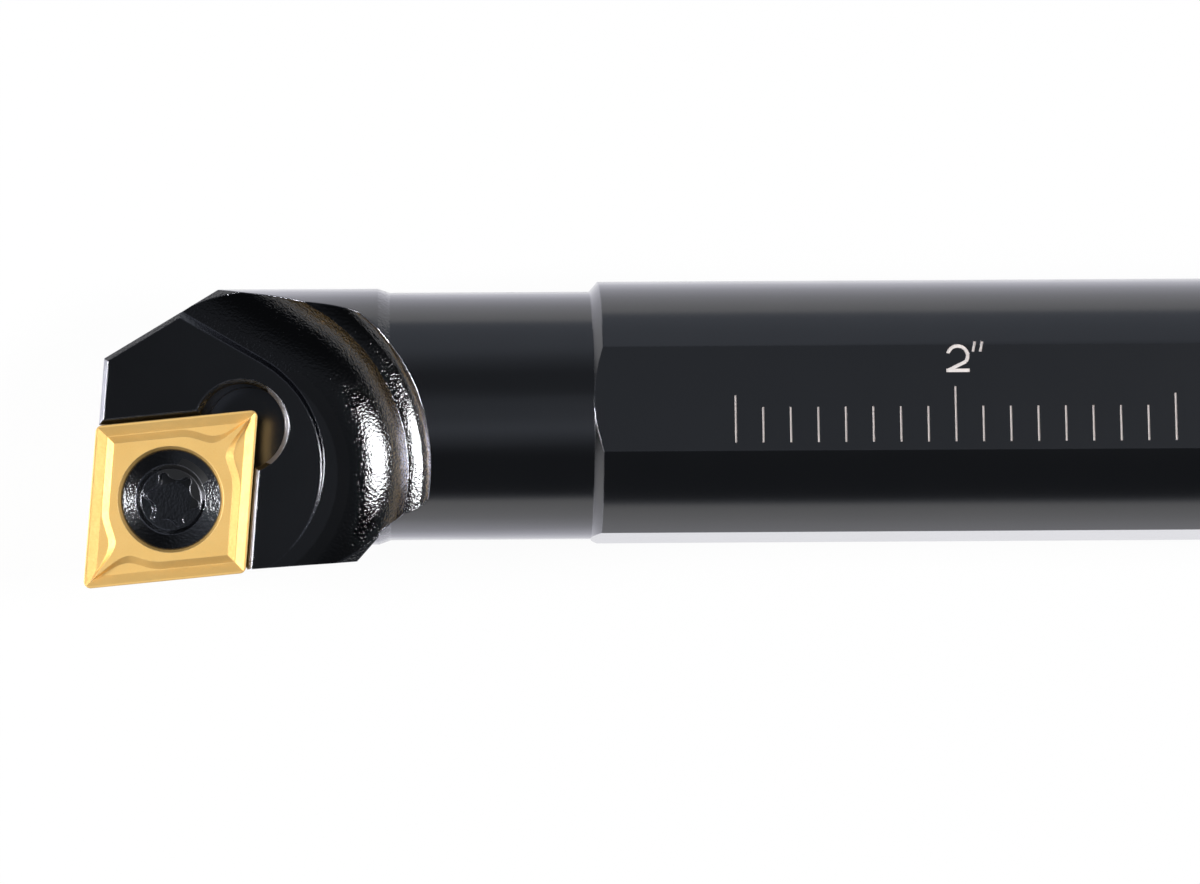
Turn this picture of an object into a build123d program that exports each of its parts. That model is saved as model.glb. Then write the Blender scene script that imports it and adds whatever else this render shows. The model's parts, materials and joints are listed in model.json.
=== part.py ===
from build123d import *
from math import atan2, cos, degrees, radians, sin, sqrt, tan
import os

# Right-hand indexable boring bar for a 5/8 inch holder.
# All sizes are in millimetres. The bar lies along X with its cutting tip at the -X end,
# the cutting face looks up, and the tip points towards -Y.
# Shapes are drawn with X counted from the tip, and moved at the end so that the origin
# is the centre of the rear end face of the shank.

# Shank
overall_length = 203.2
shank_diameter = 15.875
flat_depth = 0.6
rear_chamfer = 1.0
plain_tail_length = 19.0

# Head and neck, in order from the tip
head_diameter = 15.2
head_length = 17.5
collar_chamfer_length = 0.7
neck_diameter = 14.7
neck_length = 11.8
shoulder_length = 0.5

# Nose of the head
front_setback = 0.12
front_relief_angle = 10.0
nose_slant_angle = 30.3
nose_slant_start = 3.45

# Tip side of the head, turned off-centre
cheek_offset = 1.75
cheek_slant_angle = 4.0
cheek_slant_station = 9.86
cheek_return_angle = 50.0
cheek_return_station = 15.85
cheek_relief_angle = 7.0
cheek_relief_top = 1.5
cheek_facet_station = 15.0
cheek_facet_offset = -8.8
cheek_facet_height = 1.45
cheek_facet_angle = 31.6
cheek_facet_rise_angle = 20.6
cheek_facet_slope = 40.0

# Rake face
tip_offset = 10.17
radial_rake_angle = 5.0
axial_rake_angle = 3.5
rake_face_rise = 0.05
floor_bevel_width = 0.3
pocket_bevel_width = 0.28

# Insert: 80 degree diamond
insert_circle = 9.525
corner_angle = 80.0
approach_angle = 5.0
insert_thickness = 3.97
flank_angle = 7.0
nose_radius = 0.4
insert_hole_diameter = 4.4
countersink_diameter = 6.3
seat_cone_angle = 60.0
edge_hone = 0.04

# Chip groove pressed into the top of the insert
land_width = 0.13
groove_depth = 0.22
groove_back_slope_width = 0.55
groove_wall_width = 0.44
plateau_inset = 1.16
plateau_bulge = 0.54
plateau_bulge_station = 2.9
plateau_point_station = 0.62
plateau_point_flare = 0.55

# Pocket
pocket_gap = 0.08
corner_relief_diameter = 5.1
corner_relief_overlap = 1.55
corner_relief_depth = 0.5

# Clamp screw
screw_diameter = 4.0
thread_clearance = 0.03
screw_length = 6.3
screw_end_chamfer = 0.5
head_clearance = 0.02
screw_rim_depth = 0.25
screw_crown_rise = 0.3
dish_diameter = 4.15
dish_depth = 0.3
dish_floor_diameter = 3.6
lobe_tip_diameter = 3.3
lobe_root_diameter = 2.36
lobe_tip_radius = 0.27
lobe_count = 6
lobe_turn = 48.0
socket_depth = 1.3

# Chip gullet, swept round a centre behind the insert
gullet_centre_station = 8.3
gullet_centre_offset = -3.5
gullet_radial_tilt = 3.5
gullet_step = 0.12
gullet_floor_radius = 6.8
gullet_wall_radius = 5.05
gullet_wall_turn = 58.4
gullet_ledge_slope = 16.0
gullet_ledge_radius = 3.0
gullet_ledge_turn = 18.0
gullet_lip_radius = 1.6
gullet_lip_turn = 22.0
gullet_lead_out_slope = 0.1
gullet_run_out_angle = 60.0
floor_island_radius = 7.1
floor_island_station = 7.1
floor_island_offset = -3.1
floor_island_height = 0.8

# Depth scale engraved on the cutting-side flat, in sixteenths of an inch from the tip
inch = 25.4
scale_first_inch = 1.5
scale_last_inch = 4.0
scale_divisions = 16
tick_width = 0.1
tick_depth = 0.05
tick_base_offset = -2.58
short_tick_length = 2.05
half_inch_tick_length = 2.75
inch_tick_length = 3.2
numeral_height = 1.62
numeral_width = 1.35
numeral_stroke = 0.2
numeral_base_offset = 1.44
numeral_shift = 0.17
numeral_stem_share = 0.72
numeral_bar_share = 0.32
inch_mark_thinning = 0.7
inch_mark_gap = 0.42
inch_mark_length = 0.62
inch_mark_slant = 12.0

# Sizes that follow from the ones above
shank_radius = shank_diameter / 2
head_radius = head_diameter / 2
neck_radius = neck_diameter / 2
flat_distance = shank_radius - flat_depth
neck_start = head_length + collar_chamfer_length
neck_end = neck_start + neck_length
shank_start = neck_end + shoulder_length
flat_end = overall_length - plain_tail_length
insert_side = insert_circle / sin(radians(corner_angle))
reach = 4 * shank_diameter

# The rake frame: x along the bar, z square to the tilted cutting face, origin at the tip
rake_x = Vector(1, 0, tan(radians(axial_rake_angle)))
rake_normal = Vector(-tan(radians(axial_rake_angle)), -tan(radians(radial_rake_angle)), 1)
rake_plane = Plane(origin=(0, -tip_offset, 0), x_dir=rake_x, z_dir=rake_normal)
rake = rake_plane.location

# The gullet frame leans a little less than the cutting face, and its floor is a step lower
rake_height = (
    rake_face_rise
    + gullet_centre_station * tan(radians(axial_rake_angle))
    + (gullet_centre_offset + tip_offset) * tan(radians(radial_rake_angle))
)
gullet_origin = (gullet_centre_station, gullet_centre_offset, rake_height - gullet_step)
gullet_normal = Vector(-tan(radians(axial_rake_angle)), -tan(radians(gullet_radial_tilt)), 1)
gullet_plane = Plane(origin=gullet_origin, x_dir=rake_x, z_dir=gullet_normal)


def polar(length, angle):
    """A flat vector of this length at this angle in degrees."""
    return Vector(length * cos(radians(angle)), length * sin(radians(angle)))


# Directions of the two cutting edges that meet at the tip
side_edge_angle = approach_angle
end_edge_angle = approach_angle + corner_angle


def diamond_corners(inset=0.0):
    """Corners of the insert's outline, moved in from its edges: tip, rear, far corner, front."""
    shrink = 2 * inset / sin(radians(corner_angle))
    side = insert_side - shrink
    middle_angle = (side_edge_angle + end_edge_angle) / 2
    tip = polar(inset / sin(radians(corner_angle / 2)), middle_angle)
    rear = tip + polar(side, side_edge_angle)
    front = tip + polar(side, end_edge_angle)
    return [tip, rear, rear + front - tip, front]


def diamond_face(inset=0.0, corner_radius=0.0):
    """The insert's outline as a face, with rounded corners if asked."""
    outline = Polyline(*diamond_corners(inset), close=True)
    face = make_face(outline)
    if corner_radius > 0:
        face = fillet(face.vertices(), corner_radius)
    return face


insert_centre = diamond_corners()[2] / 2


def chip_plateau_wire(outset, height):
    """Outline of the raised middle of the insert, moved out by outset, at this height."""
    corners = diamond_corners()
    edges = []
    for corner, first, second in ((0, 1, 3), (2, 3, 1)):
        start = corners[corner]
        along = (corners[first] - start).normalized()
        other = (corners[second] - start).normalized()
        point_along = plateau_point_station - outset
        point = start + (along + other) * point_along
        for near, far in ((along, other), (other, along)):
            inward = (far - near * near.dot(far)).normalized()

            def place(station, inset):
                return start + near * station + inward * (inset - outset)

            middle = insert_side / 2
            bulge = place(plateau_bulge_station, plateau_inset + plateau_bulge)
            waist = place(middle, plateau_inset)
            skew = 1 / tan(radians(corner_angle))
            blunt_corner_run = insert_side - (plateau_inset - outset) * (1 / sin(radians(corner_angle)) - skew)
            blunt = place(blunt_corner_run, plateau_inset)
            curve = Spline(point, bulge, waist, tangents=[near + inward * plateau_point_flare, near])
            edges += [curve, Line(waist, blunt)]
    return Pos(0, 0, height) * Wire(edges)


def make_insert():
    """The coated carbide insert, built in the rake frame with its top edge at height 0."""
    blank = extrude(diamond_face(corner_radius=nose_radius), amount=-insert_thickness, taper=flank_angle)
    top_edges = blank.faces().sort_by(Axis.Z)[-1].outer_wire().edges()
    blank = chamfer(top_edges, edge_hone)

    hollow_top = Pos(0, 0, 0) * diamond_face(land_width)
    hollow_floor = Pos(0, 0, -groove_depth) * diamond_face(land_width + groove_back_slope_width)
    hollow = loft([hollow_top, hollow_floor])
    plateau_top = Face(chip_plateau_wire(0.0, 0.0))
    plateau_foot = Face(chip_plateau_wire(groove_wall_width, -groove_depth))
    blank -= hollow - loft([plateau_foot, plateau_top])

    cone_depth = (countersink_diameter - insert_hole_diameter) / 2 / tan(radians(seat_cone_angle / 2))
    hole = Cylinder(insert_hole_diameter / 2, 4 * insert_thickness)
    cone = Pos(0, 0, -cone_depth / 2) * Cone(insert_hole_diameter / 2, countersink_diameter / 2, cone_depth)
    return blank - Pos(insert_centre) * (hole + cone)


def make_socket():
    """The six-lobe recess in the screw's head, open upwards from height 0."""
    notch_radius = 0.74
    star = Circle((lobe_tip_diameter / 2 + lobe_root_diameter / 2) / 2)
    for index in range(lobe_count):
        angle = lobe_turn + index * 360 / lobe_count
        between = angle + 180 / lobe_count
        star -= Pos(polar(lobe_root_diameter / 2 + notch_radius, between)) * Circle(notch_radius)
    for index in range(lobe_count):
        angle = lobe_turn + index * 360 / lobe_count
        star += Pos(polar(lobe_tip_diameter / 2 - lobe_tip_radius, angle)) * Circle(lobe_tip_radius)
    return extrude(star, amount=-socket_depth)


def make_screw():
    """The countersunk clamp screw, built on its own axis with the insert's top at height 0."""
    slope = tan(radians(seat_cone_angle / 2))
    rim_radius = countersink_diameter / 2 - screw_rim_depth * slope - head_clearance
    thread_radius = screw_diameter / 2
    cone_end = -screw_rim_depth - (rim_radius - thread_radius) / slope
    crown = screw_crown_rise - screw_rim_depth
    end = crown - screw_length
    profile = Polyline(
        (0, crown),
        (dish_diameter / 2, crown),
        (rim_radius, -screw_rim_depth),
        (thread_radius, cone_end),
        (thread_radius, end + screw_end_chamfer),
        (thread_radius - screw_end_chamfer, end),
        (0, end),
        close=True,
    )
    body = revolve(Plane.XZ * make_face(profile), Axis.Z)
    dish = Pos(0, 0, crown - dish_depth / 2) * Cone(dish_floor_diameter / 2, dish_diameter / 2, dish_depth)
    return body - dish - Pos(0, 0, crown - dish_depth) * make_socket()


def turned_blank():
    """The bar as it comes off the lathe."""
    front = -shank_diameter
    outline = Polyline(
        (front, 0),
        (front, head_radius),
        (head_length, head_radius),
        (neck_start, neck_radius),
        (neck_end, neck_radius),
        (shank_start, shank_radius),
        (overall_length - rear_chamfer, shank_radius),
        (overall_length, shank_radius - rear_chamfer),
        (overall_length, 0),
        close=True,
    )
    return revolve(make_face(outline), Axis.X)


def cheek_facet_cut():
    """The sloping facet between the gullet's rim and the outer edge of the cheek."""
    corner = Pos(cheek_facet_station, cheek_facet_offset, cheek_facet_height)
    edge = Rot(0, 0, cheek_facet_angle) * Rot(0, -cheek_facet_rise_angle, 0)
    slope = Rot(cheek_facet_slope, 0, 0)
    return corner * edge * slope * Pos(0, -reach / 2, reach / 2) * Box(2 * reach, reach, reach)


def head_cheek():
    """The off-centre swelling of the head on the tip side, which carries the insert."""
    length = 2 * head_length
    axis_frame = Location((cheek_slant_station, -cheek_offset, 0), (0, 0, cheek_slant_angle))
    swelling = axis_frame * Rot(0, 90, 0) * Cylinder(head_radius, length)
    rim_half_width = sqrt(head_radius**2 - cheek_relief_top**2)
    inside = Rot(cheek_relief_angle, 0, 0) * Pos(0, reach / 2) * Box(2 * reach, reach, 2 * reach)
    flank = axis_frame * Pos(0, -rim_half_width, cheek_relief_top) * inside
    corner = Vector(cheek_return_station, -cheek_offset - rim_half_width, cheek_relief_top)
    rear = Location(corner, (0, 0, cheek_return_angle)) * inside
    head_only = Pos(head_length - reach / 2, 0, 0) * Box(reach, 2 * reach, 2 * reach)
    return (swelling & head_only & flank & rear) - cheek_facet_cut()


def front_cut():
    """Everything in front of the head's end face, which leans back below the tip."""
    edge = front_setback
    face_frame = Location((0, 0, 0), (0, 0, end_edge_angle - 90))
    lean = Location((edge, 0, 0), (0, -front_relief_angle, 0))
    return rake * face_frame * lean * Pos(-reach / 2, 0, 0) * Box(reach, 2 * reach, reach)


def nose_slant_cut():
    """The slanted flat that takes off the front corner away from the tip."""
    corner_x = front_setback + (nose_slant_start + tip_offset) * tan(radians(90 - end_edge_angle))
    frame = Location((corner_x, nose_slant_start, 0), (0, 0, nose_slant_angle))
    return frame * Pos(0, reach / 2, 0) * Box(2 * reach, reach, reach)


def on_rake_face(x, y):
    """The place on the rake face over this station and offset, in the rake frame."""
    rise = x * tan(radians(axial_rake_angle)) + (y + tip_offset) * tan(radians(radial_rake_angle))
    return rake_plane.to_local_coords(Vector(x, y, rake_face_rise + rise))


def bevel_cut(start, end):
    """The edge break along the rake face from start to end, with the open side on the left."""
    edge_plane = Plane(origin=start, x_dir=end - start, z_dir=(0, 0, 1))
    slope = Pos(0, -floor_bevel_width, 0) * Rot(45, 0, 0)
    return rake * edge_plane.location * slope * Pos(0, reach / 2, 0) * Box(2 * reach, reach, reach)


def floor_bevels():
    """Edge breaks along the front edge and the nose slant."""
    low = Vector(front_setback, 0, rake_face_rise)
    high = low + polar(reach, end_edge_angle)
    corner_x = front_setback + (nose_slant_start + tip_offset) * tan(radians(90 - end_edge_angle))
    slant = polar(reach, nose_slant_angle)
    near = on_rake_face(corner_x, nose_slant_start)
    far = on_rake_face(corner_x + slant.X, nose_slant_start + slant.Y)
    return bevel_cut(low, high) + bevel_cut(near, far)


def gullet_section():
    """Half of the gullet's section: flat floor, hollow wall, ledge and steep lip."""
    wall = JernArc((gullet_floor_radius, 0), (1, 0), gullet_wall_radius, gullet_wall_turn)
    ledge = JernArc(wall @ 1, polar(1, gullet_ledge_slope), gullet_ledge_radius, gullet_ledge_turn)
    lip = JernArc(ledge @ 1, ledge % 1, gullet_lip_radius, gullet_lip_turn)
    top = shank_diameter
    rim = lip @ 1
    lead_out = (rim.X + (top - rim.Y) * gullet_lead_out_slope, top)
    sides = Polyline(rim, lead_out, (0, top), (0, 0), (gullet_floor_radius, 0))
    return make_face([wall, ledge, lip, sides])


def gullet_bowl():
    """The turned hollow of the gullet and its straight run-out over the nose."""
    section = Plane.XZ * gullet_section()
    bowl = revolve(section, Axis.Z)
    straight = extrude(Plane.XZ * gullet_section(), amount=reach)
    run_out = Rot(0, 0, gullet_run_out_angle) * mirror(straight, Plane.XZ)
    return gullet_plane.location * (bowl + run_out)


def island_outline():
    """The edge of the flat floor round the insert: an arc behind it, straight ends to the open sides."""
    centre = Vector(floor_island_station, floor_island_offset + tip_offset)
    shoulder = centre + polar(floor_island_radius, gullet_run_out_angle)
    far_left = shoulder + polar(reach, gullet_run_out_angle + 90)
    round_end = centre + polar(floor_island_radius, -90)
    arc = CenterArc(centre, floor_island_radius, -90, 90 + gullet_run_out_angle)
    rest = Polyline(shoulder, far_left, (-reach, -reach), (round_end.X, -reach), round_end)
    return make_face([arc, rest])


def floor_island():
    """The flat floor round the insert: all that stays below the cutting face inside the gullet."""
    outline = island_outline()
    block = extrude(outline, amount=-floor_island_height, taper=-45.0)
    foot = offset(outline, floor_island_height)
    deep = Pos(0, 0, -floor_island_height) * extrude(foot, amount=-reach)
    return rake * Pos(0, 0, rake_face_rise) * (block + deep)


def rake_face_cut():
    """The head above its flat floor, up to the start of the gullet."""
    return rake * Pos(0, 0, rake_face_rise) * extrude(island_outline(), amount=reach)


def pocket_cut():
    """The pocket: its two walls lean like the insert's flanks, its other sides are open."""
    tip, rear, far, front = diamond_corners(-pocket_gap)
    open_front = front + polar(reach, side_edge_angle + 180)
    open_side = rear + polar(reach, end_edge_angle + 180)
    outline = Polyline(open_front, front, far, rear, open_side, (-reach, -reach), close=True)
    height = shank_diameter
    walls_top = height * tan(radians(flank_angle))
    upper = extrude(make_face(outline), amount=height, taper=-flank_angle)
    lower = extrude(make_face(outline), amount=-insert_thickness, taper=flank_angle)
    relief_centre = far - polar(corner_relief_overlap, (side_edge_angle + end_edge_angle) / 2)
    relief_bottom = -insert_thickness - corner_relief_depth
    relief_radius = corner_relief_diameter / 2
    relief = Cylinder(relief_radius, height, align=(Align.CENTER, Align.CENTER, Align.MIN))
    cut = upper + lower + Pos(relief_centre.X, relief_centre.Y, relief_bottom) * relief

    bevel_start = rake_face_rise - pocket_bevel_width
    bevel_height = 4 * pocket_bevel_width
    wall_lean = bevel_start * tan(radians(flank_angle))
    bevel_outline = Pos(0, 0, bevel_start) * offset(make_face(outline), wall_lean, kind=Kind.INTERSECTION)
    cut += extrude(bevel_outline, amount=bevel_height, taper=-45.0)
    mouth = Cone(
        relief_radius,
        relief_radius + bevel_height,
        bevel_height,
        align=(Align.CENTER, Align.CENTER, Align.MIN),
    )
    return rake * (cut + Pos(relief_centre.X, relief_centre.Y, bevel_start) * mouth)


def screw_hole():
    """The tapped hole under the insert, which runs right through the head."""
    return rake * Pos(insert_centre) * Cylinder(screw_diameter / 2 + thread_clearance, 2 * reach)


def flat_cut(normal_angle, start, end):
    """A ground flat, its outward normal turned from +Y towards +Z by this angle."""
    middle = (start + end) / 2
    block = Box(end - start, reach, 2 * shank_diameter)
    return Rot(normal_angle, 0, 0) * Pos(middle, flat_distance + reach / 2, 0) * block


def stroke(points, width):
    """A pen stroke of constant width through these points."""
    return trace(Polyline(*points), width)


def numeral(digit):
    """A plain digit, drawn in a box from (0, 0) to its width and height."""
    w, h, s = numeral_width, numeral_height, numeral_stroke
    left, right, low, high = s / 2, w - s / 2, s / 2, h - s / 2
    if digit == 2:
        bowl_radius = (right - left) / 2
        bowl = CenterArc((w / 2, high - bowl_radius), bowl_radius, 165, -200)
        tail = Line(bowl @ 1, (left, low))
        return trace(bowl, s) + trace(tail, s) + stroke([(0, low), (w, low)], s)
    if digit == 3:
        upper = (high - h / 2) / 2
        lower = (h / 2 - low) / 2
        top_bowl = CenterArc((w / 2, high - upper), upper, 160, -250)
        low_bowl = CenterArc((w / 2, low + lower), lower, 90, -250)
        return trace(top_bowl, s) + trace(low_bowl, s)
    stem = w * numeral_stem_share
    bar = h * numeral_bar_share
    return stroke([(stem, 0), (stem, h), (left, bar)], s) + stroke([(0, bar), (w, bar)], s)


def inch_mark():
    """Two short slanted strokes."""
    lean = polar(inch_mark_length, 90 - inch_mark_slant)
    marks = stroke([(0, 0), lean], numeral_stroke * inch_mark_thinning)
    return marks + Pos(inch_mark_gap, 0) * marks


def engraving_core():
    """The shank as it is under the engraving: its surface moved in by the depth of the marks."""
    length = scale_last_inch * inch + shank_diameter
    core = Pos(length / 2, 0, 0) * Rot(0, 90, 0) * Cylinder(shank_radius - tick_depth, length)
    top = flat_distance - tick_depth
    return core - Pos(length / 2, 0, top + reach / 2) * Box(2 * length, reach, reach)


def depth_scale():
    """The engraved ticks and numerals, as thin cutters that sink into the flat and over its edge."""
    face_plane = Plane(origin=(0, 0, flat_distance), x_dir=(1, 0, 0), z_dir=(0, 0, 1))
    marks = []
    first = round(scale_first_inch * scale_divisions)
    last = round(scale_last_inch * scale_divisions)
    for index in range(first, last + 1):
        whole = index % scale_divisions == 0
        half = index % (scale_divisions // 2) == 0
        length = inch_tick_length if whole else half_inch_tick_length if half else short_tick_length
        station = index * inch / scale_divisions
        marks.append(Pos(station, tick_base_offset + length / 2) * Rectangle(tick_width, length))
        if whole:
            left = station + numeral_shift - numeral_width / 2
            marks.append(Pos(left, numeral_base_offset) * numeral(index // scale_divisions))
            mark_x = left + numeral_width + inch_mark_gap / 2
            mark_y = numeral_base_offset + numeral_height - inch_mark_length * inch_mark_thinning
            marks.append(Pos(mark_x, mark_y) * inch_mark())
    blocks = [extrude(face_plane * mark, amount=shank_radius - flat_distance + 1, both=True) for mark in marks]
    return [block - engraving_core() for block in blocks]


def make_body():
    """The bar: turned, then milled, drilled and engraved."""
    body = turned_blank() + head_cheek()
    body -= front_cut()
    body -= nose_slant_cut()
    body -= rake_face_cut()
    body -= gullet_bowl() - floor_island()
    body -= floor_bevels()
    body -= pocket_cut()
    body -= screw_hole()
    body -= flat_cut(90, shank_start - shoulder_length, flat_end)
    body -= flat_cut(180, shank_start - shoulder_length, flat_end)
    body -= flat_cut(-90, -reach, flat_end)
    for cutter in depth_scale():
        body -= cutter
    return body


home = Pos(-overall_length, 0, 0)
pieces = {
    "bar_body": home * make_body(),
    "cutting_insert": home * rake * make_insert(),
    "clamp_screw": home * rake * Pos(insert_centre) * make_screw(),
}

os.makedirs("parts", exist_ok=True)
for name, piece in pieces.items():
    export_step(piece, f"parts/{name}.step")
    box = piece.bounding_box()
    print(name, "volume", round(piece.volume, 2), "solids", len(piece.solids()), "box", box.min, box.max)
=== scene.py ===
# %% [markdown]
# # A boring bar, lit like a catalogue photograph
#
# A boring bar reaches into a hole and turns it wider. This one is a blackened steel bar with a
# gold-coloured carbide insert at its tip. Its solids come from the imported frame, at their real
# size and place. This file dresses them: it gives each surface the finish that its making leaves,
# sets soft studio light round it, and puts the camera where the photograph was taken.

# %% Load the frame
import json
import math

import bpy
from mathutils import Euler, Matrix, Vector

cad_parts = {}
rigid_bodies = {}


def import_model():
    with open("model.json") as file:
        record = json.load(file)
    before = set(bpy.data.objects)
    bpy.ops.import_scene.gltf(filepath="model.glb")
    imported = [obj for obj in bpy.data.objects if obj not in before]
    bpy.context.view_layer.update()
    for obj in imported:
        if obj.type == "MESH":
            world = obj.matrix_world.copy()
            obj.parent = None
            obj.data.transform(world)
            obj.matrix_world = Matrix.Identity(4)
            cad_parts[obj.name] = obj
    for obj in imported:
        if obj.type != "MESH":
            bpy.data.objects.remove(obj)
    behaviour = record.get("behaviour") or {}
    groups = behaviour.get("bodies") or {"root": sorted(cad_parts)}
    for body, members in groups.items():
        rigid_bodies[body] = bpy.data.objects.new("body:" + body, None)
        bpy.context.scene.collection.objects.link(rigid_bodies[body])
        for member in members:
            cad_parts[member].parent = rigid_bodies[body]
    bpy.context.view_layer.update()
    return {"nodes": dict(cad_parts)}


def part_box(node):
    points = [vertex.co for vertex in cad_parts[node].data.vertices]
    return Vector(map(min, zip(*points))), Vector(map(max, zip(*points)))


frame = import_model()
print("solids:", sorted(frame["nodes"]))

# %% [markdown]
# Blender works in metres here, in the frame of the solids: the bar lies along X and its cutting
# tip points to -X. It helps to count stations from the tip, as the engraved scale does, so one
# function turns millimetres from the tip into a place in the frame. The scale counts from a point
# a hair in front of the mesh, because the insert's nose is rounded.

# %% Stations along the bar
MM = 0.001
NOSE_ROUNDING = 0.045
body_low, body_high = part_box("bar_body")
insert_low, insert_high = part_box("cutting_insert")
screw_low, screw_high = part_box("clamp_screw")
tip_x = insert_low.x - NOSE_ROUNDING * MM
floor_z = body_low.z


def from_tip(x, y, z):
    """A place given in millimetres from the tip's station, as a vector in the frame."""
    return Vector((tip_x + x * MM, y * MM, z * MM))


print("overall length in mm:", round((body_high.x - tip_x) / MM, 1))
print("insert's reach along the bar in mm:", round((insert_high.x - insert_low.x) / MM, 2))

# %% [markdown]
# Colours are picked as sRGB hex values, as a painter reads them from a screen. Shaders work with
# linear light, so each value passes through one function that undoes the screen's curve. That
# curve is a short straight toe near black and a power above it.

# %% Colours
BYTE_MAX = 255
TOE_END = 0.04045
TOE_SLOPE = 12.92
CURVE_OFFSET = 0.055
CURVE_POWER = 2.4


def to_linear(channel):
    """One sRGB channel between 0 and 1 as linear light."""
    if channel <= TOE_END:
        return channel / TOE_SLOPE
    return ((channel + CURVE_OFFSET) / (1 + CURVE_OFFSET)) ** CURVE_POWER


def colour(hex_value):
    """An sRGB hex string as a linear RGBA tuple."""
    channels = [int(hex_value[i : i + 2], 16) / BYTE_MAX for i in (0, 2, 4)]
    return (*[to_linear(channel) for channel in channels], 1.0)


print("middle grey 808080 is linear", round(colour("808080")[0], 3))

# %% [markdown]
# A material is a tree of nodes. One function adds a node with its settings and links, and another
# sets the ones that are there already. A key is the name of an input or of a property. Nodes for
# sums and mixing have inputs that share a name, so a key may also be an input's number.

# %% Nodes
SHARE = 0
FIRST_COLOUR = 6
SECOND_COLOUR = 7
MIXED_COLOUR = 2


def set_node(tree, node, settings=None, links=None):
    """Set a node's inputs and properties, and link its inputs to other nodes' outputs."""
    for key, value in (settings or {}).items():
        if isinstance(key, int) or key in node.inputs:
            node.inputs[key].default_value = value
        else:
            setattr(node, key, value)
    for key, source in (links or {}).items():
        tree.links.new(source, node.inputs[key])
    return node


def add_node(tree, kind, settings=None, links=None):
    """Add a node of this kind with its settings and links."""
    return set_node(tree, tree.nodes.new(kind), settings, links)


def new_material(name):
    """A new material, its tree of nodes and its main shader."""
    material = bpy.data.materials.new(name)
    material.use_nodes = True
    tree = material.node_tree
    return material, tree, tree.nodes["Principled BSDF"]


print("a Mix node's colours go in at", FIRST_COLOUR, "and", SECOND_COLOUR)

# %% [markdown]
# ## Black oxide on steel
#
# The bar is turned, milled and ground, then blackened in a hot oxide bath and oiled. The bath
# leaves the tool marks as they are and only darkens them. The oil lies over the oxide like a clear
# coat, so the steel is near black face-on and bright where the eye grazes it.
#
# Each way of cutting leaves its own marks, and one noise field can draw them all when it is
# stretched. The marks are counted per millimetre of the real bar, across and along, and the noise's
# scale is worked out from that count. Pale handling wear on the edges, which also paints their
# highlights, and the slow change in the oxide's sheen use two more fields, with specks 0.15 mm wide
# and clouds 4 mm wide.

# %% Marks counted on the real bar
GRIT_PER_MM = 6.5
GRIT = {"Scale": GRIT_PER_MM / MM, "Detail": 2.0, "Roughness": 0.6}
CLOUDS_PER_MM = 0.26
CLOUDS = {"Scale": CLOUDS_PER_MM / MM, "Detail": 3.0, "Roughness": 0.55}
MARKS = {"Scale": 1.0, "Detail": 4.0, "Roughness": 0.6}


def tool_marks(tree, place, marks_per_mm):
    """The height of tool marks with their count per millimetre along X, Y and Z."""
    scale = tuple(count / MM for count in marks_per_mm)
    stretched = add_node(tree, "ShaderNodeMapping", {"Scale": scale}, {"Vector": place})
    links = {"Vector": stretched.outputs["Vector"]}
    return add_node(tree, "ShaderNodeTexNoise", MARKS, links).outputs["Fac"]


print("width of a speck in mm:", round(1 / GRIT_PER_MM, 2))
print("width of a cloud in mm:", round(1 / CLOUDS_PER_MM, 1))

# %% [markdown]
# The ball-ended cutter swings round a centre as it mills the gullet, and the screw spins on its
# axis as its head is turned, so both carry arcs. The noise draws arcs when it is given the
# distance from that centre in place of X.

# %% Marks that run in arcs
gullet_centre = from_tip(8.3, -3.5, 0)
screw_centre = (screw_low + screw_high) / 2
LEVEL_PART = (1.0, 1.0, 0.0)


def arc_place(tree, place, centre):
    """A place whose X is its level distance from a centre, so that marks along it are arcs."""
    arm = add_node(
        tree, "ShaderNodeVectorMath", {"operation": "SUBTRACT", 1: centre}, {0: place}
    ).outputs["Vector"]
    level_arm = add_node(
        tree, "ShaderNodeVectorMath", {"operation": "MULTIPLY", 1: LEVEL_PART}, {0: arm}
    ).outputs["Vector"]
    distance = add_node(
        tree, "ShaderNodeVectorMath", {"operation": "LENGTH"}, {0: level_arm}
    ).outputs["Value"]
    parts = add_node(tree, "ShaderNodeSeparateXYZ", links={"Vector": arm}).outputs
    links = {"X": distance, "Y": parts["Y"], "Z": parts["Z"]}
    return add_node(tree, "ShaderNodeCombineXYZ", links=links).outputs["Vector"]


print("gullet centre in the frame, in mm:", [round(value / MM, 2) for value in gullet_centre])

# %% [markdown]
# Handling rubs sharp edges bare, and the pale steel put there is partly that wear and partly a
# painted highlight of the light the edges catch. A Bevel node gives a normal that is rounded near
# an edge, and where it leaves the face's own normal, there is an edge. This finds the edges of the
# mesh without touching it. The ground flats are crisp, so their edges get a much smaller rounding.

# %% Worn edges, with a painted highlight
EDGE_RADIUS = 0.11
CRISP_EDGE_RADIUS = 0.02
EDGE_SAMPLES = 4


def edge_share(tree, rounded, start, full, most):
    """How much of an edge a place is: none where the normals agree above start, and most below
    full.
    """
    face = add_node(tree, "ShaderNodeNewGeometry").outputs["Normal"]
    agreement = add_node(
        tree, "ShaderNodeVectorMath", {"operation": "DOT_PRODUCT"}, {0: face, 1: rounded}
    ).outputs["Value"]
    settings = {"From Min": start, "From Max": full, "To Min": 0.0, "To Max": most}
    return add_node(tree, "ShaderNodeMapRange", settings, {"Value": agreement}).outputs["Result"]


print("edge rounding in mm, worn and crisp:", EDGE_RADIUS, CRISP_EDGE_RADIUS)

# %% [markdown]
# The finish puts these together. Two bumps lie over each other: the tool marks, then the grit.
# Oxide is a metal-like dark film, so the shader is fully metallic and keeps the default IOR. Oil
# alone has an IOR of 1.5 and the oxide under it 2.4, and 1.7 for the coat matched the photograph.

# %% Black oxide finish
OIL_FILM_IOR = 1.7
COOL_SHEEN = "ececff"
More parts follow.
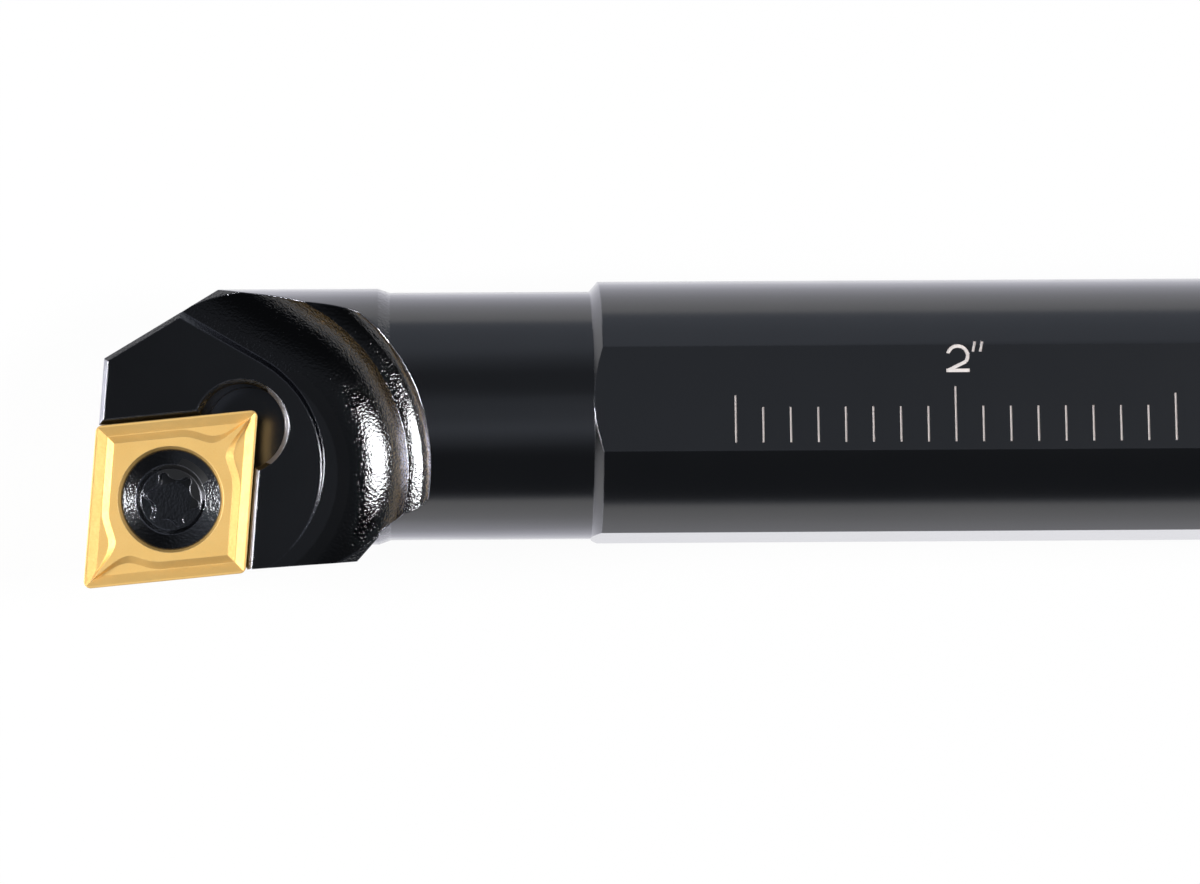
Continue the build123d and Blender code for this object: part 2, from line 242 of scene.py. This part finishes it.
# Pale steel on the edges: partly rubbed wear, partly a painted highlight.
RUBBED_STEEL_AND_EDGE_HIGHLIGHT = "c4c4d0"
EDGE_START = 0.97
EDGE_FULL = 0.80
CLOUD_LOW = 0.35
CLOUD_HIGH = 0.65


def black_oxide_finish(
    name,
    marks_per_mm,
    mark_depth,
    rough_low,
    rough_high,
    centre=None,
    grit_depth=0.0,
    dark="14161b",
    pale="1f1f22",
    edge_radius=EDGE_RADIUS,
):
    """Oiled black oxide over a cut surface, with its depths and radius in millimetres."""
    material, tree, shader = new_material(name)
    place = add_node(tree, "ShaderNodeTexCoord").outputs["Object"]
    mark_place = place if centre is None else arc_place(tree, place, centre)
    marks = tool_marks(tree, mark_place, marks_per_mm)
    clouds = add_node(tree, "ShaderNodeTexNoise", CLOUDS, {"Vector": place}).outputs["Fac"]
    grit = add_node(tree, "ShaderNodeTexNoise", GRIT, {"Vector": place}).outputs["Fac"]
    settings = {"samples": EDGE_SAMPLES, "Radius": edge_radius * MM}
    rounded = add_node(tree, "ShaderNodeBevel", settings).outputs["Normal"]
    links = {"Height": marks, "Normal": rounded}
    marked = add_node(tree, "ShaderNodeBump", {"Distance": mark_depth * MM}, links)
    links = {"Height": grit, "Normal": marked.outputs["Normal"]}
    relief = add_node(tree, "ShaderNodeBump", {"Distance": grit_depth * MM}, links)
    rough = add_node(
        tree,
        "ShaderNodeMapRange",
        {"From Min": CLOUD_LOW, "From Max": CLOUD_HIGH, "To Min": rough_low, "To Max": rough_high},
        {"Value": clouds},
    )
    # Edges turn pale in grit specks: partly rubbed wear, partly a painted highlight.
    links = {0: edge_share(tree, rounded, EDGE_START, EDGE_FULL, 1.0), 1: grit}
    patchy_wear_and_edge_highlight = add_node(tree, "ShaderNodeMath", {"operation": "MULTIPLY"}, links)
    oxide = add_node(
        tree,
        "ShaderNodeMix",
        {"data_type": "RGBA", FIRST_COLOUR: colour(dark), SECOND_COLOUR: colour(pale)},
        {SHARE: clouds},
    )
    surface = add_node(
        tree,
        "ShaderNodeMix",
        {"data_type": "RGBA", SECOND_COLOUR: colour(RUBBED_STEEL_AND_EDGE_HIGHLIGHT)},
        {SHARE: patchy_wear_and_edge_highlight.outputs["Value"], FIRST_COLOUR: oxide.outputs[MIXED_COLOUR]},
    )
    settings = {
        "Metallic": 1.0,
        "Coat Weight": 1.0,
        "Coat Roughness": (rough_low + rough_high) / 2,
        "Coat IOR": OIL_FILM_IOR,
        "Specular Tint": colour(COOL_SHEEN),
    }
    links = {
        "Base Color": surface.outputs[MIXED_COLOUR],
        "Roughness": rough.outputs["Result"],
        "Normal": relief.outputs["Normal"],
        "Coat Normal": relief.outputs["Normal"],
    }
    set_node(tree, shader, settings, links)
    print(name, "with marks per mm", marks_per_mm, "and roughness", rough_low, "to", rough_high)
    return material


print("oil film's IOR:", OIL_FILM_IOR)

# %% [markdown]
# **Turned steel.** The lathe's tool moves 0.18 mm along the bar at each turn and leaves fine
# rings. They run round the bar, so the noise is fine along X and nearly smooth across it.

# %% Turned steel of the shank, the neck and the head's round
turned_steel = black_oxide_finish(
    "black_oxide_turned_steel",
    marks_per_mm=(5.5, 0.04, 0.04),
    mark_depth=0.0022,
    rough_low=0.15,
    rough_high=0.22,
)

# %% [markdown]
# **Ground steel.** The grinding wheel runs along the bar, so the three flats carry streaks
# 0.2 mm apart that are many millimetres long. They are shallow, and the flats are the calmest
# mirrors of the bar.

# %% Ground steel of the flats
ground_steel = black_oxide_finish(
    "black_oxide_ground_steel",
    marks_per_mm=(0.06, 5.0, 5.0),
    mark_depth=0.0008,
    rough_low=0.16,
    rough_high=0.18,
    edge_radius=CRISP_EDGE_RADIUS,
)

# %% [markdown]
# ** Broken edge with a painted glint.** The front edges of the head and of the pocket are narrow broken edges that look towards the tip, where the left softbox stands. Their pale colour, speckled by grit 0.03 mm deep, is a painted glint of that softbox.

# %% Steel of the broken edges, with a painted glint
broken_edge_painted_glint_steel = black_oxide_finish(
    "broken_edge_painted_glint_steel",
    marks_per_mm=(3.0, 3.0, 3.0),
    mark_depth=0.002,
    rough_low=0.25,
    rough_high=0.4,
    grit_depth=0.03,
    # These pale colours paint the left softbox's glint on the edges.
    dark="5c5d66",
    pale="c4c4d0",
)

# %% [markdown]
# **Milled gullet.** The gullet is polished by chips that slide over it, so it is the smoothest
# steel of all. It keeps small dents from them, and each one flashes in the light. Real dents may
# be finer than a pixel, so they are drawn as coarse as they need to show.

# %% Milled steel of the gullet
milled_steel = black_oxide_finish(
    "black_oxide_milled_steel",
    marks_per_mm=(4.2, 0.13, 0.13),
    mark_depth=0.003,
    rough_low=0.07,
    rough_high=0.14,
    centre=gullet_centre,
    grit_depth=0.024,
)

# %% [markdown]
# **Milled floor.** The flat floor beside the insert is cut in one light pass. Its arcs are wider
# apart and almost too shallow to see.

# %% Milled steel of the head's floor
floor_steel = black_oxide_finish(
    "black_oxide_milled_floor",
    marks_per_mm=(3.0, 0.09, 0.09),
    mark_depth=0.0006,
    rough_low=0.13,
    rough_high=0.22,
    centre=gullet_centre,
    grit_depth=0.0008,
)

# %% [markdown]
# **Clamp screw.** Small screws are cold headed, turned under the head and blackened. Turning
# leaves rings round the head, and the key leaves dents on its rim that flash to the left and to
# the right.

# %% Blackened steel of the screw's head
screw_steel = black_oxide_finish(
    "blackened_screw_steel",
    marks_per_mm=(7.0, 0.2, 0.2),
    mark_depth=0.0015,
    rough_low=0.13,
    rough_high=0.2,
    centre=screw_centre,
    grit_depth=0.024,
    dark="2b2c30",
    pale="38393d",
)

# %% [markdown]
# ** Socket.** A punch presses the socket into the head, and no tool cuts it afterwards. Its near-black colour is painted shade of the recess, so it is the darkest part of the screw, and its higher roughness makes it the dullest.

# %% Pressed steel of the screw's socket, with painted shade
socket_painted_shade_steel = black_oxide_finish(
    "pressed_socket_painted_shade",
    marks_per_mm=(0.6, 0.6, 0.6),
    mark_depth=0.0008,
    rough_low=0.3,
    rough_high=0.4,
    # These near-black colours are painted shade of the socket's recess.
    dark="050506",
    pale="0a0a0c",
)

# %% [markdown]
# ## Bare steel in the scale
#
# The scale is engraved after blackening, so its marks show bare steel. The needle leaves their
# floors rough, with a grain of 0.17 mm here so that it shows, and they catch light from every
# side. Such a matt scratch looks pale rather than mirror-like, so it is only partly metallic.

# %% Bare engraved steel
NEEDLE_MARKS_PER_MM = 6.0
NEEDLE_MARKS = {"Scale": NEEDLE_MARKS_PER_MM / MM, "Detail": 2.0}
NEEDLE_MARK_DEPTH = 0.01
BRIGHT_SCRATCH = "ebe4e0"
DUSTY_SCRATCH = "cfc6c2"
bare_steel, tree, shader = new_material("bare_engraved_steel")
place = add_node(tree, "ShaderNodeTexCoord").outputs["Object"]
needle = add_node(tree, "ShaderNodeTexNoise", NEEDLE_MARKS, {"Vector": place}).outputs["Fac"]
relief = add_node(
    tree, "ShaderNodeBump", {"Distance": NEEDLE_MARK_DEPTH * MM}, {"Height": needle}
)
colours = {FIRST_COLOUR: colour(BRIGHT_SCRATCH), SECOND_COLOUR: colour(DUSTY_SCRATCH)}
scratched = add_node(tree, "ShaderNodeMix", {"data_type": "RGBA", **colours}, {SHARE: needle})
links = {"Base Color": scratched.outputs[MIXED_COLOUR], "Normal": relief.outputs["Normal"]}
set_node(tree, shader, {"Metallic": 0.25, "Roughness": 0.6}, links)
print(bare_steel.name, "with a grain of", round(1 / NEEDLE_MARKS_PER_MM, 2), "mm")

# %% [markdown]
# ## Gold-coloured nitride on carbide
#
# The insert is pressed and sintered, so it keeps the faint grain of the powder. A few micrometres
# of titanium nitride follow that grain and give the satin gold. The powder itself is far finer than
# a pixel, so its grain is drawn 0.11 mm wide. The honed edges are smoother, and the paler gold
# along them is a painted highlight of the light they catch.

# %% Coated carbide
POWDER_GRAINS_PER_MM = 9.0
POWDER = {"Scale": POWDER_GRAINS_PER_MM / MM, "Detail": 3.0, "Roughness": 0.65}
POWDER_GRAIN_DEPTH = 0.0012
TINTS_PER_MM = 0.45
TINTS = {"Scale": TINTS_PER_MM / MM, "Detail": 2.0}
GOLD = "f6d28a"
DEEP_GOLD = "efc679"
# A painted highlight: the paler gold along the honed edges.
HONED_EDGE_HIGHLIGHT_GOLD = "f2dfb4"
HONED_EDGE_RADIUS = 0.06
HONED_START = 0.985
HONED_FULL = 0.85
HONED_EDGE_HIGHLIGHT_SHARE = 0.6
GRAIN_LOW = 0.3
GRAIN_HIGH = 0.7
SATIN_LOW = 0.56
SATIN_HIGH = 0.7
coated_carbide, tree, shader = new_material("titanium_nitride_coated_carbide")
place = add_node(tree, "ShaderNodeTexCoord").outputs["Object"]
powder = add_node(tree, "ShaderNodeTexNoise", POWDER, {"Vector": place}).outputs["Fac"]
tint = add_node(tree, "ShaderNodeTexNoise", TINTS, {"Vector": place}).outputs["Fac"]
settings = {"samples": EDGE_SAMPLES, "Radius": HONED_EDGE_RADIUS * MM}
rounded = add_node(tree, "ShaderNodeBevel", settings).outputs["Normal"]
links = {"Height": powder, "Normal": rounded}
relief = add_node(tree, "ShaderNodeBump", {"Distance": POWDER_GRAIN_DEPTH * MM}, links)
colours = {FIRST_COLOUR: colour(GOLD), SECOND_COLOUR: colour(DEEP_GOLD)}
gold = add_node(tree, "ShaderNodeMix", {"data_type": "RGBA", **colours}, {SHARE: tint})
# Near the edges the gold turns paler, as a painted highlight.
honed_edge_highlight = edge_share(tree, rounded, HONED_START, HONED_FULL, HONED_EDGE_HIGHLIGHT_SHARE)
settings = {"data_type": "RGBA", SECOND_COLOUR: colour(HONED_EDGE_HIGHLIGHT_GOLD)}
links = {SHARE: honed_edge_highlight, FIRST_COLOUR: gold.outputs[MIXED_COLOUR]}
gold_with_painted_edge_highlight = add_node(tree, "ShaderNodeMix", settings, links)
settings = {
    "From Min": GRAIN_LOW,
    "From Max": GRAIN_HIGH,
    "To Min": SATIN_LOW,
    "To Max": SATIN_HIGH,
}
satin = add_node(tree, "ShaderNodeMapRange", settings, {"Value": powder})
links = {
    "Base Color": gold_with_painted_edge_highlight.outputs[MIXED_COLOUR],
    "Roughness": satin.outputs["Result"],
    "Normal": relief.outputs["Normal"],
}
set_node(tree, shader, {"Metallic": 1.0}, links)
print(coated_carbide.name, "with a grain of", round(1 / POWDER_GRAINS_PER_MM, 2), "mm")

# %% [markdown]
# ## Dressing the bar
#
# The body's mesh comes as one piece, and its vertices stay where they are. Only the number of each
# face's material is set, from where the face lies and which way it looks. Engraved marks lie below
# the surface round them, flats look straight up, down or to the tip's side, the gullet and the
# floor lie on the head and look up, and all the rest is turned.

# %% Numbers that tell the cuts apart
# Radii, heights and stations from the tip, in millimetres.
SHANK_RADIUS = 7.9375
FLAT_HEIGHT = 7.3375
HEAD_END = 21.0
SHOULDER_END = 29.0
TURNED_RADII = (7.35, 7.6)
TURNED_TOLERANCE = 0.03
TIP_OFFSET = 10.17
RAKE_REACH = 0.35
SCALE_START = 36.0
SCALE_END = 104.0
SCALE_HEIGHT = 5.0
ENGRAVED_DEPTH = 0.035
# Slopes of the floor, from the two angles of the insert's rake.
RAKE_RISE_ALONG = math.tan(math.radians(3.5))
RAKE_RISE_ACROSS = math.tan(math.radians(5.0))
# Parts of the direction that a face looks in, from -1 to 1.
SQUARE_ON = 0.9995
FACES_TIP = -0.45
BROKEN_EDGE_RISE = (0.5, 0.9)
FACES_UP = 0.05
LEVEL_ENOUGH = 0.985
print("the scale lies between", SCALE_START, "and", SCALE_END, "mm from the tip")

# %% [markdown]
# The floor leans by the insert's rake, so its height at a place is worked out from two slopes. The
# broken edges are the faces near that height that look to the tip and halfway up, and their finish
# paints the left softbox's glint on them.


# %% Tell how a face was cut
def depth_below_surface(point):
    """How far a point lies below the shank's flat or its round surface."""
    return min(FLAT_HEIGHT - point.z, SHANK_RADIUS - math.hypot(point.y, point.z))


def on_turned_surface(points):
    """Whether all these points lie on the round of the neck or of the head's collar."""
    radii = [math.hypot(point.y, point.z) for point in points]
    return any(
        max(abs(radius - turned) for radius in radii) < TURNED_TOLERANCE
        for turned in TURNED_RADII
    )


def is_engraved(centre, points):
    """Whether a face lies in a mark of the depth scale."""
    on_scale = SCALE_START < centre.x < SCALE_END and centre.z > SCALE_HEIGHT
    return on_scale and max(depth_below_surface(point) for point in points) > ENGRAVED_DEPTH


def is_broken_edge(centre, normal):
    """Whether a face breaks the edge at the front of the floor or of the pocket."""
    rake_height = centre.x * RAKE_RISE_ALONG + (centre.y + TIP_OFFSET) * RAKE_RISE_ACROSS
    near_floor = abs(centre.z - rake_height) < RAKE_REACH
    lowest, highest = BROKEN_EDGE_RISE
    return near_floor and normal.x < FACES_TIP and lowest < normal.z < highest


def cut_kind(points, normal):
    """How a face of the body was cut, from its corners in millimetres from the tip."""
    centre = sum(points, Vector()) / len(points)
    if is_engraved(centre, points):
        return "engraved"
    if centre.x > SHOULDER_END and max(abs(normal.z), abs(normal.y)) > SQUARE_ON:
        return "ground"
    if is_broken_edge(centre, normal):
        # Faces that look to the tip get the finish with the painted glint.
        return "painted glint edge"
    if centre.x < HEAD_END and normal.z > FACES_UP and not on_turned_surface(points):
        return "milled" if normal.z < LEVEL_ENOUGH else "floor"
    return "turned"


flat_corners = [Vector((70, y, FLAT_HEIGHT)) for y in (-1, 1)]
print("a face of the top flat is", cut_kind(flat_corners, Vector((0, 0, 1))))

# %% [markdown]
# The finishes go on in a fixed order, and each face then gets the number of its own.

# %% Dress the body
body_finishes = {
    "turned": turned_steel,
    "ground": ground_steel,
    "milled": milled_steel,
    "engraved": bare_steel,
    "floor": floor_steel,
    "painted glint edge": broken_edge_painted_glint_steel,
}
kinds = list(body_finishes)
body = frame["nodes"]["bar_body"]
body.data.materials.clear()
for finish in body_finishes.values():
    body.data.materials.append(finish)
corners_in_frame = [body.matrix_world @ vertex.co for vertex in body.data.vertices]
corners_in_mm = [Vector(((p.x - tip_x) / MM, p.y / MM, p.z / MM)) for p in corners_in_frame]
body_turn = body.matrix_world.to_3x3()
counts = dict.fromkeys(kinds, 0)
for polygon in body.data.polygons:
    corners = [corners_in_mm[index] for index in polygon.vertices]
    kind = cut_kind(corners, (body_turn @ polygon.normal).normalized())
    polygon.material_index = kinds.index(kind)
    counts[kind] += 1
print("faces of the body:", counts)

# %% [markdown]
# ## Dressing the insert and the screw
#
# The insert is one finish all over. The screw's socket is told from its head by its distance from
# the screw's axis. The axis leans with the floor, so its place is taken from the head alone.

# %% Dress the insert and the screw
SOCKET_RADIUS = 1.72
SOCKET_REACH = 2.2
SCREW_HEAD_TOP = 0.5
for material_slot in frame["nodes"]["cutting_insert"].material_slots:
    material_slot.material = coated_carbide
screw = frame["nodes"]["clamp_screw"]
screw.data.materials.clear()
screw.data.materials.append(screw_steel)
screw.data.materials.append(socket_painted_shade_steel)
screw_points = [screw.matrix_world @ vertex.co for vertex in screw.data.vertices]
head_points = [point for point in screw_points if point.z > screw_high.z - SCREW_HEAD_TOP * MM]
head_centre = sum(head_points, Vector()) / len(head_points)
for polygon in screw.data.polygons:
    corners = [screw_points[index] - head_centre for index in polygon.vertices]
    widest = max(math.hypot(corner.x, corner.y) for corner in corners)
    lowest = min(corner.z for corner in corners)
    in_socket = widest < SOCKET_RADIUS * MM and lowest > -SOCKET_REACH * MM
    # Faces in the socket get the finish with the painted shade.
    polygon.material_index = 1 if in_socket else 0
socket_faces = sum(polygon.material_index for polygon in screw.data.polygons)
print("screw faces in the socket:", socket_faces, "of", len(screw.data.polygons))

# %% [markdown]
# ## The studio
#
# The photograph has a pure white ground. A strength of 1 is white, so most of what the camera and
# the bar's reflections see of the paper is its own light. The rest is lit from above, so a faint
# shadow stays under the bar. What the paper throws on the bar is only the light that falls on it.

# %% Floor
FLOOR_SIZE = 3.0
OWN_LIGHT = 0.96
bpy.ops.mesh.primitive_plane_add(size=FLOOR_SIZE, location=(tip_x / 2, 0, floor_z))
floor = bpy.context.object
floor.name = "floor"
white_paper, tree, paper = new_material("white_paper")
settings = {"Base Color": colour("f0f0f0"), "Roughness": 0.9, "Specular IOR Level": 0.0}
set_node(tree, paper, settings)
glow = add_node(tree, "ShaderNodeEmission", {"Color": colour("ffffff"), "Strength": 1.0})
path = add_node(tree, "ShaderNodeLightPath").outputs
links = {0: path["Is Camera Ray"], 1: path["Is Glossy Ray"]}
seen = add_node(tree, "ShaderNodeMath", {"operation": "MAXIMUM"}, links).outputs["Value"]
settings = {"operation": "MULTIPLY", 1: OWN_LIGHT}
share = add_node(tree, "ShaderNodeMath", settings, {0: seen}).outputs["Value"]
links = {0: share, 1: paper.outputs["BSDF"], 2: glow.outputs["Emission"]}
mixed = add_node(tree, "ShaderNodeMixShader", links=links).outputs["Shader"]
set_node(tree, tree.nodes["Material Output"], links={"Surface": mixed})
floor.data.materials.append(white_paper)
print("floor", FLOOR_SIZE, "m wide at a height of", round(floor_z / MM, 2), "mm")

# %% [markdown]
# The polished round of the bar works like a curved mirror: it shows the whole room as bands along
# its length. The world is graded by the angle across the bar, so that the bands fall where the
# photograph has them: a dim ceiling in the middle, darker strips beside it, and a grey wall on
# the side away from the tip. Each stop below is an angle in degrees and a grey level.

# %% The room's grey levels by angle
ROOM = (
    (-180, 0.32),
    (-90, 0.32),
    (-84, 0.10),
    (-44, 0.09),
    (-36, 0.14),
    (-26, 0.32),
    (-19, 0.44),
    (-8, 0.32),
    (8, 0.28),
    (14, 0.20),
    (20, 0.15),
    (34, 0.15),
    (46, 0.26),
    (58, 0.43),
    (93, 0.48),
    (99, 0.32),
)
COOL = (0.92, 1.0, 1.15)


def room_colour(level):
    """A grey level of the room with its cool tint."""
    return (*[level * channel for channel in COOL], 1.0)


print("room of", len(ROOM), "stops, the darkest at", min(level for _, level in ROOM))

# %% [markdown]
# A colour ramp takes a number from 0 to 1, so the angle is mapped to that first. The room gets
# darker towards the front, which the head's floor mirrors, because that floor is black in the
# photograph.

# %% World
HALF_TURN = 180
FULL_TURN = 360
FRONT = -0.15
FRONT_END = -0.07
FRONT_STRENGTH = 0.3
world = bpy.data.worlds.new("studio")
bpy.context.scene.world = world
world.use_nodes = True
tree = world.node_tree
direction = add_node(tree, "ShaderNodeTexCoord").outputs["Generated"]
parts = add_node(tree, "ShaderNodeSeparateXYZ", links={"Vector": direction}).outputs
links = {0: parts["Y"], 1: parts["Z"]}
across = add_node(tree, "ShaderNodeMath", {"operation": "ARCTAN2"}, links).outputs["Value"]
settings = {"From Min": -math.pi, "From Max": math.pi}
turn_share = add_node(tree, "ShaderNodeMapRange", settings, {"Value": across})
ramp = add_node(tree, "ShaderNodeValToRGB", links={"Fac": turn_share.outputs["Result"]})
stops = ramp.color_ramp.elements
stops.remove(stops[1])
stops[0].position = 0.0
stops[0].color = room_colour(ROOM[0][1])
for angle, level in ROOM[1:]:
    stop = stops.new((angle + HALF_TURN) / FULL_TURN)
    stop.color = room_colour(level)
settings = {
    "From Min": FRONT,
    "From Max": FRONT_END,
    "To Min": FRONT_STRENGTH,
    "To Max": 1.0,
}
shade = add_node(tree, "ShaderNodeMapRange", settings, {"Value": parts["X"]})
links = {"Color": ramp.outputs["Color"], "Strength": shade.outputs["Result"]}
set_node(tree, tree.nodes["Background"], links=links)
print("world", world.name, "with", len(stops), "stops on its ramp")

# %% [markdown]
# Two softboxes make the highlights. The left one stands low in front of the tip, and the gullet's
# hollow wall mirrors it as two white bands. The right one stands high over the shank, and gives
# the screw's rim and the insert's grooves their second glint.


# %% Lamps
def softbox(name, place, aim, width, height, power):
    """A rectangular area lamp at a place, turned towards a point."""
    data = bpy.data.lights.new(name, "AREA")
    data.shape = "RECTANGLE"
    data.size = width
    data.size_y = height
    data.energy = power
    lamp = bpy.data.objects.new(name, data)
    lamp.location = place
    lamp.rotation_euler = (aim - place).to_track_quat("-Z", "Y").to_euler()
    bpy.context.scene.collection.objects.link(lamp)
    print(name, width, "by", height, "m,", power, "W, from", round((aim - place).length, 2), "m")
    return lamp


head = from_tip(15, 0, 0)
softbox("left_softbox", from_tip(-400, -25, 195), head, width=0.08, height=0.14, power=2.6)
softbox("right_softbox", from_tip(300, -20, 320), head, width=0.11, height=0.11, power=1.2)

# %% [markdown]
# ## The camera
#
# The ticks of the depth scale are a sixteenth of an inch apart, so their places in the photograph
# tell where the camera stood: about 23 cm above the bar, over the head, leaning seven degrees
# towards the tip's side. The same fit gives the focal length in pixels of the photograph. It puts
# the lens's axis left of the frame's middle, as in a picture that has been cropped, and the
# camera's shift makes up for that.

# %% Camera
PHOTO_WIDTH = 1200
FOCAL_PIXELS = 4048.5
PRINCIPAL_COLUMN = 443.3
CAMERA_PLACE = (19.03, -31.13, 238.31)
CAMERA_TURN = (7.078, -0.546, -0.335)
camera_data = bpy.data.cameras.new("camera")
camera_data.sensor_width = 36.0
camera_data.lens = FOCAL_PIXELS / PHOTO_WIDTH * camera_data.sensor_width
camera_data.shift_x = (PHOTO_WIDTH / 2 - PRINCIPAL_COLUMN) / PHOTO_WIDTH
camera_data.clip_start = 0.01
camera_data.clip_end = 10.0
camera = bpy.data.objects.new("camera", camera_data)
camera.location = from_tip(*CAMERA_PLACE)
camera.rotation_mode = "ZYX"
camera.rotation_euler = Euler([math.radians(angle) for angle in CAMERA_TURN], "ZYX")
bpy.context.scene.collection.objects.link(camera)
bpy.context.scene.camera = camera
bpy.context.scene.view_settings.view_transform = "Standard"
print("lens", round(camera_data.lens, 1), "mm, shift", round(camera_data.shift_x, 4))
